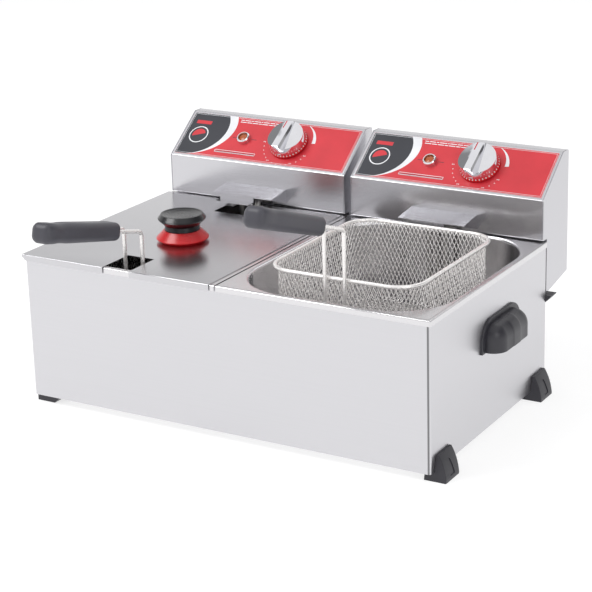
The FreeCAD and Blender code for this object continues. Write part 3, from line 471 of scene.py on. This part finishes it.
def slope_matrix(side):
    """From fascia coordinates, in mm: X across, Y up the slope, Z out of it."""
    low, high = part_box("overlay_" + side)
    middle = (low.x + high.x) / 2
    up = Vector((0, math.cos(SLOPE_ANGLE), math.sin(SLOPE_ANGLE)))
    out = Vector((0, -math.sin(SLOPE_ANGLE), math.cos(SLOPE_ANGLE)))
    foot = Vector((middle, low.y - out.y * OVERLAY_THICKNESS * MM, low.z)) - up * OVERLAY_LOW * MM
    turn = Matrix((Vector((1, 0, 0)), up, out)).transposed().to_4x4()
    return Matrix.Translation(foot) @ turn @ Matrix.Scale(MM, 4)


def tube_ring(centre, ahead, r, sides):
    """Points of one ring of a tube."""
    ahead = ahead.normalized()
    across = ahead.cross(OFF_AXIS).normalized()
    other = ahead.cross(across)
    return [centre + across * (r * math.cos(2 * math.pi * k / sides))
            + other * (r * math.sin(2 * math.pi * k / sides)) for k in range(sides)]


def add_tube(points, faces, path, r, sides):
    """Adds a wire along a path to lists of points and faces."""
    for i, centre in enumerate(path):
        ahead = path[min(i + 1, len(path) - 1)] - path[max(i - 1, 0)]
        points.extend(tube_ring(centre, ahead, r, sides))
    start = len(points) - sides * len(path)
    for i in range(len(path) - 1):
        for k in range(sides):
            a = start + i * sides + k
            b = start + i * sides + (k + 1) % sides
            faces.append((a, b, b + sides, a + sides))
    faces.append(tuple(start + k for k in reversed(range(sides))))
    faces.append(tuple(start + sides * (len(path) - 1) + k for k in range(sides)))


# ---------------------------------------------------------------- baskets

def outline_point(distance, half_x, half_y, r):
    """Point and outward direction on a rounded rectangle, by distance along it."""
    straight_x, straight_y = 2 * (half_x - r), 2 * (half_y - r)
    turn = math.pi * r / 2
    around = 2 * (straight_x + straight_y) + 4 * turn
    d = distance % around
    corners = ((1, -1, -90, straight_x), (1, 1, 0, straight_y),
               (-1, 1, 90, straight_x), (-1, -1, 180, straight_y))
    for sx, sy, start, run in corners:
        centre = Vector((sx * (half_x - r), sy * (half_y - r), 0))
        first = math.radians(start)
        out = Vector((math.cos(first), math.sin(first), 0))
        along = Vector((-out.y, out.x, 0))
        if d < run:
            return centre + out * r - along * (run - d), out
        d -= run
        if d < turn:
            angle = first + d / r
            out = Vector((math.cos(angle), math.sin(angle), 0))
            return centre + out * r, out
        d -= turn
    return centre, out


def outline_length(half_x, half_y, r):
    """Distance once round a rounded rectangle."""
    return 4 * (half_x - r) + 4 * (half_y - r) + 2 * math.pi * r


def weave(row, i, way):
    """A wire's offset at a crossing: over one wire, then under the next."""
    return CLOTH_WAVE * (1 if (row + i) % 2 == 0 else -1) * way


def cloth_wall(half_x, half_y, height, points, faces):
    """The walls' wires: two families that slant opposite ways and weave over each other."""
    r = CLOTH_CORNER
    around = outline_length(half_x, half_y, r)
    count = round(around / CLOTH_PITCH)
    pitch = around / count
    bend = CLOTH_FILLET * math.pi / 2
    down = height - CLOTH_FILLET + bend
    rows = round(down / (CLOTH_DIAMOND / 2))
    for way in (-1, 1):
        for i in range(count):
            path = []
            for row in range(rows + 1):
                depth = down * row / rows
                at, out = outline_point(i * pitch + way * row * pitch / 2, half_x, half_y, r)
                wave = weave(row, i, way)
                if depth <= height - CLOTH_FILLET:
                    place = at + out * wave + Vector((0, 0, height - depth))
                else:
                    angle = (depth - height + CLOTH_FILLET) / CLOTH_FILLET
                    reach = CLOTH_FILLET - (CLOTH_FILLET + wave) * math.cos(angle)
                    place = at - out * reach
                    place.z = CLOTH_FILLET - (CLOTH_FILLET + wave) * math.sin(angle)
                path.append(place)
            add_tube(points, faces, path, CLOTH_WIRE, CLOTH_SIDES)


def inside_outline(x, y, half_x, half_y, r):
    """Whether a point is inside a rounded rectangle."""
    dx = max(abs(x) - (half_x - r), 0.0)
    dy = max(abs(y) - (half_y - r), 0.0)
    return math.hypot(dx, dy) <= r


def cloth_floor(half_x, half_y, points, faces):
    """The floor's wires, in the same weave, cut to the floor's outline."""
    r = CLOTH_CORNER - CLOTH_FILLET
    step_y = CLOTH_DIAMOND / 2
    rows = int(half_y / step_y) + 1
    columns = int((half_x + half_y) / CLOTH_PITCH) + 2
    for way in (-1, 1):
        for i in range(-columns, columns + 1):
            path = []
            for row in range(-rows, rows + 1):
                x = (i + way * row / 2) * CLOTH_PITCH
                y = row * step_y
                if inside_outline(x, y, half_x, half_y, r):
                    path.append(Vector((x, y, weave(row, i, way))))
            if len(path) > 1:
                add_tube(points, faces, path, CLOTH_WIRE, CLOTH_SIDES)


def basket_cloth(side):
    """The woven tub of one basket, in place of its plain shell."""
    low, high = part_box("basket_mesh_" + side)
    size = (high - low) / MM
    inset = CLOTH_WIRE + CLOTH_WAVE
    half_x, half_y = size.x / 2 - inset, size.y / 2 - inset
    points, faces = [], []
    cloth_wall(half_x, half_y, size.z - inset, points, faces)
    cloth_floor(half_x - CLOTH_FILLET, half_y - CLOTH_FILLET, points, faces)
    origin = Vector(((low.x + high.x) / 2, (low.y + high.y) / 2, low.z + inset * MM))
    points = [origin + p * MM for p in points]
    made = piece("basket_cloth_" + side, mesh_from("basket_cloth_" + side, points, faces),
                 "basket_" + side, "wire_steel")
    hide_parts("basket_mesh_" + side)


for side in SIDES:
    basket_cloth(side)


# ---------------------------------------------------------------- fascia print

def flat(shapes, outline, tone, lift=LEVEL_MARK):
    """Adds a flat printed shape, given as (x, s) points, to lists of points, faces and tones."""
    points, faces, tones = shapes
    start = len(points)
    points.extend(Vector((x, s, lift)) for x, s in outline)
    faces.append(tuple(range(start, len(points))))
    tones.append(tone)


def rectangle(x0, s0, x1, s1):
    """Corners of a rectangle."""
    return [(x0, s0), (x1, s0), (x1, s1), (x0, s1)]


def arc(cx, cs, r, start, end, steps):
    """Points on an arc, in degrees anticlockwise from X."""
    angles = [math.radians(start + (end - start) * i / steps) for i in range(steps + 1)]
    return [(cx + r * math.cos(a), cs + r * math.sin(a)) for a in angles]


def swoosh(cs, rx, rs):
    """The right side of a printed ellipse, from the field's top edge down to its bottom."""
    edge = []
    for i in range(SWOOSH_STEPS + 1):
        share = (1 - math.cos(math.pi * i / SWOOSH_STEPS)) / 2
        s = FIELD_HIGH - (FIELD_HIGH - FIELD_LOW) * share
        edge.append((SWOOSH_X + rx * math.sqrt(1 - ((s - cs) / rs) ** 2), s))
    return edge


def strip(shapes, x0, s0, x1, s1, width):
    """Four white lines round a rectangle."""
    for rect in ((x0, s0, x1, s0 + width), (x0, s1 - width, x1, s1),
                 (x0, s0, x0 + width, s1), (x1 - width, s0, x1, s1)):
        flat(shapes, rectangle(*rect), WHITE)


def words(shapes, x, s, lengths, height):
    """A row of small white dashes that stand for lettering."""
    for length in lengths:
        flat(shapes, rectangle(x, s, x + length, s + height), WHITE)
        x += length + LETTER_GAP


def ring(shapes, cx, cs, r, width):
    """A white ring of some width."""
    outer = arc(cx, cs, r, 0, 360, BADGE_STEPS)
    inner = arc(cx, cs, r - width, 0, 360, BADGE_STEPS)
    for i in range(BADGE_STEPS):
        flat(shapes, [outer[i], outer[i + 1], inner[i + 1], inner[i]], WHITE)


def fields(shapes):
    """White ground, red field with a curved left edge, and dark corner inside the curve."""
    flat(shapes, rectangle(-OVERLAY_HALF + GROUND_MARGIN, OVERLAY_LOW + GROUND_MARGIN,
                           OVERLAY_HALF - GROUND_MARGIN, OVERLAY_HIGH - GROUND_MARGIN),
         WHITE, LEVEL_GROUND)
    outer = swoosh(*SWOOSH_OUTER)
    flat(shapes, outer + [(FIELD_RIGHT, FIELD_LOW), (FIELD_RIGHT, FIELD_HIGH)], RED, LEVEL_FIELD)
    inner = swoosh(*SWOOSH_INNER)
    flat(shapes, inner + [(FIELD_LEFT, FIELD_LOW), (FIELD_LEFT, FIELD_HIGH)], BLACK, LEVEL_FIELD)


def lamp_dashes(shapes):
    """A dark dash on each side of the lamp."""
    for x0, x1 in LAMP_DASHES:
        flat(shapes, rectangle(LAMP_X + x0, LAMP_S + LAMP_DASH_LOW,
                               LAMP_X + x1, LAMP_S + LAMP_DASH_HIGH), BLACK)


def long_slot(shapes):
    """A long white outline with a thick lower line and a dark line inside."""
    strip(shapes, SLOT_X0, SLOT_S0, SLOT_X1, SLOT_S0 + SLOT_TALL, SLOT_LINE)
    flat(shapes, rectangle(SLOT_X0, SLOT_S0, SLOT_X1, SLOT_S0 + SLOT_FOOT), WHITE)
    flat(shapes, rectangle(SLOT_X0 + SLOT_DARK_INSET, SLOT_S0 + SLOT_DARK_LOW,
                           SLOT_X1 - SLOT_DARK_INSET, SLOT_S0 + SLOT_DARK_HIGH), BLACK)


def dial(shapes):
    """Dots round the knob, with a pair of dashes at each numbered place."""
    for i in range(DIAL_MARKS):
        angle = math.radians(DIAL_FIRST + (DIAL_LAST - DIAL_FIRST) * i / (DIAL_MARKS - 1))
        cx, cs = KNOB_X + DIAL_R * math.cos(angle), KNOB_S + DIAL_R * math.sin(angle)
        if i in DIAL_NUMBERED:
            words(shapes, cx - NUMBER_LEFT, cs - NUMBER_DOWN, NUMBER_DASHES, NUMBER_TALL)
        else:
            last = 360 - 360 / DIAL_DOT_SIDES
            flat(shapes, arc(cx, cs, DIAL_DOT_R, 0, last, DIAL_DOT_SIDES - 1), WHITE)


def crescent(shapes):
    """A white crescent that closes the dial, wide at its lower end."""
    rim = arc(KNOB_X, KNOB_S, CRESCENT_R, CRESCENT_FIRST, CRESCENT_LAST, CRESCENT_STEPS)
    belly = []
    for i, (x, s) in enumerate(reversed(rim)):
        share = 1 - CRESCENT_WIDTH * (i + 2) / (CRESCENT_STEPS + 2) / CRESCENT_R
        belly.append((KNOB_X + (x - KNOB_X) * share, KNOB_S + (s - KNOB_S) * share))
    flat(shapes, rim + belly, WHITE)


def badge(shapes):
    """A blank pill over a plain ring with a half disc."""
    flat(shapes, rectangle(PILL_X - PILL_HALF, PILL_S - PILL_HALF_TALL,
                           PILL_X + PILL_HALF, PILL_S + PILL_HALF_TALL), RED)
    ring(shapes, BADGE_X, BADGE_S, BADGE_R, BADGE_LINE)
    flat(shapes, arc(BADGE_X, BADGE_S, BADGE_DISC_R, *BADGE_DISC_TURN, BADGE_STEPS // 2), RED)


def printed(name, side, body, slot, shapes, *finishes):
    """A printed piece from fascia coordinates, with each face's finish from its tone."""
    points, faces, tones = shapes
    plan = mesh_from(name, points, faces, smooth=False)
    for face, tone in zip(plan.polygons, tones):
        face.material_index = tone
    plan.transform(slope_matrix(side))
    piece(name, plan, body, slot, *finishes)


def overlay_print(side):
    """The overlay's colours, lines, marks and dial."""
    shapes = ([], [], [])
    fields(shapes)
    lamp_dashes(shapes)
    strip(shapes, FIELD_LEFT + LINE_INSET, FIELD_LOW + LINE_INSET,
          FIELD_RIGHT - LINE_INSET, FIELD_HIGH - LINE_INSET, LINE_WIDTH)
    long_slot(shapes)
    for x, s, lengths in LETTERING:
        words(shapes, x, s, lengths, LETTER_TALL)
    dial(shapes)
    crescent(shapes)
    badge(shapes)
    printed("overlay_print_" + side, side, "head_" + side, "overlay_print", shapes,
            "print_red", "print_black", "print_white")


def skirt_mark(angle):
    """Corners of one dash on the skirt's side, which narrows towards the cap."""
    out = Vector((math.cos(angle), math.sin(angle), 0))
    along = Vector((-out.y, out.x, 0))
    low, high = MARK_SPAN
    corners = []
    for across, up in ((-MARK_HALF, low), (MARK_HALF, low), (MARK_HALF, high), (-MARK_HALF, high)):
        r = SKIRT_R + MARK_OUT - (SKIRT_R - SKIRT_TOP_R) * up
        z = SKIRT_LOW + SKIRT_FOOT + SKIRT_RISE * up + MARK_UP
        corners.append(Vector((KNOB_X, KNOB_S, z)) + out * r + along * across)
    return corners


def groove_fill():
    """Corners of the coloured line in the cap's pointer groove, in order round it."""
    left, right = GROOVE_SIDES
    near, far = GROOVE_ENDS
    corners = []
    for x, y in ((left, near), (right, near), (right, far), (left, far)):
        z = CAP_RIM + CAP_BAR_FRONT - CAP_FALL * (y + CAP_R) - GROOVE_DEPTH
        corners.append(Vector((KNOB_X + x, KNOB_S + y, z)))
    return corners


def knob_print(side):
    """White marks round the knob's skirt and the red fill of the cap's pointer groove."""
    red, white = 0, 1
    marks = [(skirt_mark(2 * math.pi * i / SKIRT_MARKS), white) for i in range(SKIRT_MARKS)]
    marks.append((groove_fill(), red))
    points, faces, tones = [], [], []
    for corners, tone in marks:
        faces.append(tuple(range(len(points), len(points) + len(corners))))
        points.extend(corners)
        tones.append(tone)
    printed("knob_print_" + side, side, "knob_" + side, "red_plastic", (points, faces, tones),
            "print_red", "print_white")


for side in SIDES:
    overlay_print(side)
    knob_print(side)


# ---------------------------------------------------------------- painted shade in the seam between the tanks

def tank_seam_shade():
    """A dark strip of painted shade that lies on the rail between the two tanks' flanges, where the
    seam is in shade.
    """
    low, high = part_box("centre_rail")
    half = SEAM_HALF * MM
    bottom, top = high.z + SEAM_LOW * MM, high.z + SEAM_HIGH * MM
    y0, y1 = low.y + SEAM_INSET * MM, high.y - SEAM_INSET * MM
    points = [(x, y, z) for z in (bottom, top) for x, y in rectangle(-half, y0, half, y1)]
    faces = [(3, 2, 1, 0), (4, 5, 6, 7), (0, 1, 5, 4), (1, 2, 6, 5), (2, 3, 7, 6), (3, 0, 4, 7)]
    # Painted shade: a dark strip standing in for the shade down the seam.
    piece("tank_seam_shade", mesh_from("tank_seam_shade", points, faces, smooth=False), "casing", "dark_plastic")


tank_seam_shade()


# ---------------------------------------------------------------- camera, light and floor

def camera():
    """The photograph's view: position, direction and framing."""
    azimuth, elevation = math.radians(CAMERA_AZIMUTH), math.radians(CAMERA_ELEVATION)
    roll = math.radians(CAMERA_ROLL)
    ahead = Vector((-math.sin(azimuth) * math.cos(elevation),
                    math.cos(azimuth) * math.cos(elevation), -math.sin(elevation)))
    across = Vector((math.cos(azimuth), math.sin(azimuth), 0))
    up = across.cross(ahead)
    right = across * math.cos(roll) + up * math.sin(roll)
    top = up * math.cos(roll) - across * math.sin(roll)
    data = bpy.data.cameras.new("camera")
    data.sensor_width = CAMERA_SENSOR
    data.lens = CAMERA_LENS
    data.shift_x, data.shift_y = CAMERA_SHIFT
    data.clip_start = CAMERA_NEAR
    made = bpy.data.objects.new("camera", data)
    bpy.context.collection.objects.link(made)
    turn = Matrix((right, top, -ahead)).transposed().to_4x4()
    low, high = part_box("casing_wrap")
    middle = Vector((0, (low.y + high.y) / 2, 0))
    made.matrix_world = Matrix.Translation(middle + Vector(CAMERA_PLACE)) @ turn
    bpy.context.scene.camera = made


def area_light(name, place, size, power):
    """A square soft light aimed at the object."""
    data = bpy.data.lights.new(name, "AREA")
    data.size = size
    data.energy = power
    made = bpy.data.objects.new(name, data)
    bpy.context.collection.objects.link(made)
    made.location = place
    ahead = Vector(LIGHT_TARGET) - Vector(place)
    made.rotation_euler = ahead.to_track_quat("-Z", "Y").to_euler()


def sky():
    """A studio sky: bright low down and overhead, darker between and towards the right."""
    world = bpy.data.worlds.new("studio")
    world.use_nodes = True
    tree = world.node_tree
    background = tree.nodes["Background"]
    place = tree.nodes.new("ShaderNodeTexCoord")
    split = tree.nodes.new("ShaderNodeSeparateXYZ")
    tree.links.new(place.outputs["Generated"], split.inputs["Vector"])
    tree.links.new(colour_ramp(tree, split.outputs["Z"], SKY_STOPS), background.inputs["Color"])
    strength = tree.nodes.new("ShaderNodeMix")
    strength.inputs["A"].default_value = 1.0
    tree.links.new(map_range(tree, split.outputs["Z"], SKY_HORIZON_Z, (0, 1)),
                   strength.inputs["Factor"])
    tree.links.new(map_range(tree, split.outputs["X"], SKY_FADE_X, SKY_FADE), strength.inputs["B"])
    tree.links.new(strength.outputs["Result"], background.inputs["Strength"])
    bpy.context.scene.world = world


def white_floor():
    """A glowing paper floor that the object's shadow falls on."""
    ground = mesh_from("floor", FLOOR_CORNERS, [(0, 1, 2, 3)])
    floor = bpy.data.objects.new("floor", ground)
    bpy.context.collection.objects.link(floor)
    material, tree, shader = new_material("floor_paper")
    shader.inputs["Roughness"].default_value = 0.8
    shader.inputs["Specular IOR Level"].default_value = 0.0
    shader.inputs["Emission Color"].default_value = (1, 1, 1, 1)
    shader.inputs["Emission Strength"].default_value = FLOOR_GLOW
    grain = noise(tree, PAPER_SCALE, 2.0)
    tree.links.new(noise_tones(tree, grain, FLOOR_DARK, FLOOR_LIGHT), shader.inputs["Base Color"])
    ground.materials.append(material)


camera()
white_floor()
sky()
for light in LIGHTS:
    area_light(*light)
bpy.context.scene.view_settings.view_transform = "Standard"
